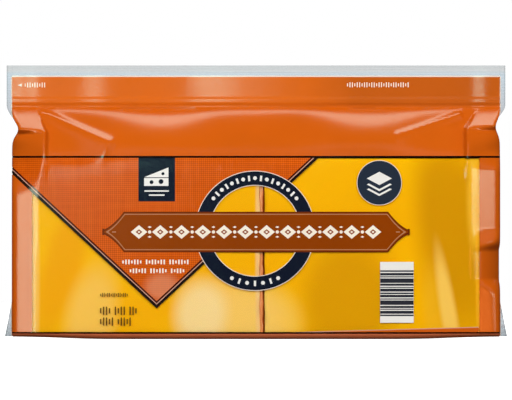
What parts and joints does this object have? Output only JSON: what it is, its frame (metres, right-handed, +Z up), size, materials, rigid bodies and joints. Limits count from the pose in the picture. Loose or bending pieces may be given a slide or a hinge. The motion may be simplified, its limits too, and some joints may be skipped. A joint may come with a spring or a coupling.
{
  "type": "pack of sliced cheese",
  "caption": "Resealable film bag holding two side-by-side stacks of cheese slices, standing on its long lower edge, with a flat zip header and thin end seals.",
  "frame": {"origin": "middle of the flat base that the pack stands on", "axes": "+X along the pack's width, to the right as seen from its printed front, +Y from front to back, +Z up"},
  "size_m": [0.257, 0.0398, 0.1398],
  "materials": {
    "printed_film": "gloss",
    "clear_film": "gloss",
    "cheese": "satin",
    "zip": "gloss"
  },
  "bodies": {
    "root": {"bag": "printed_film"}
  },
  "joints": []
}
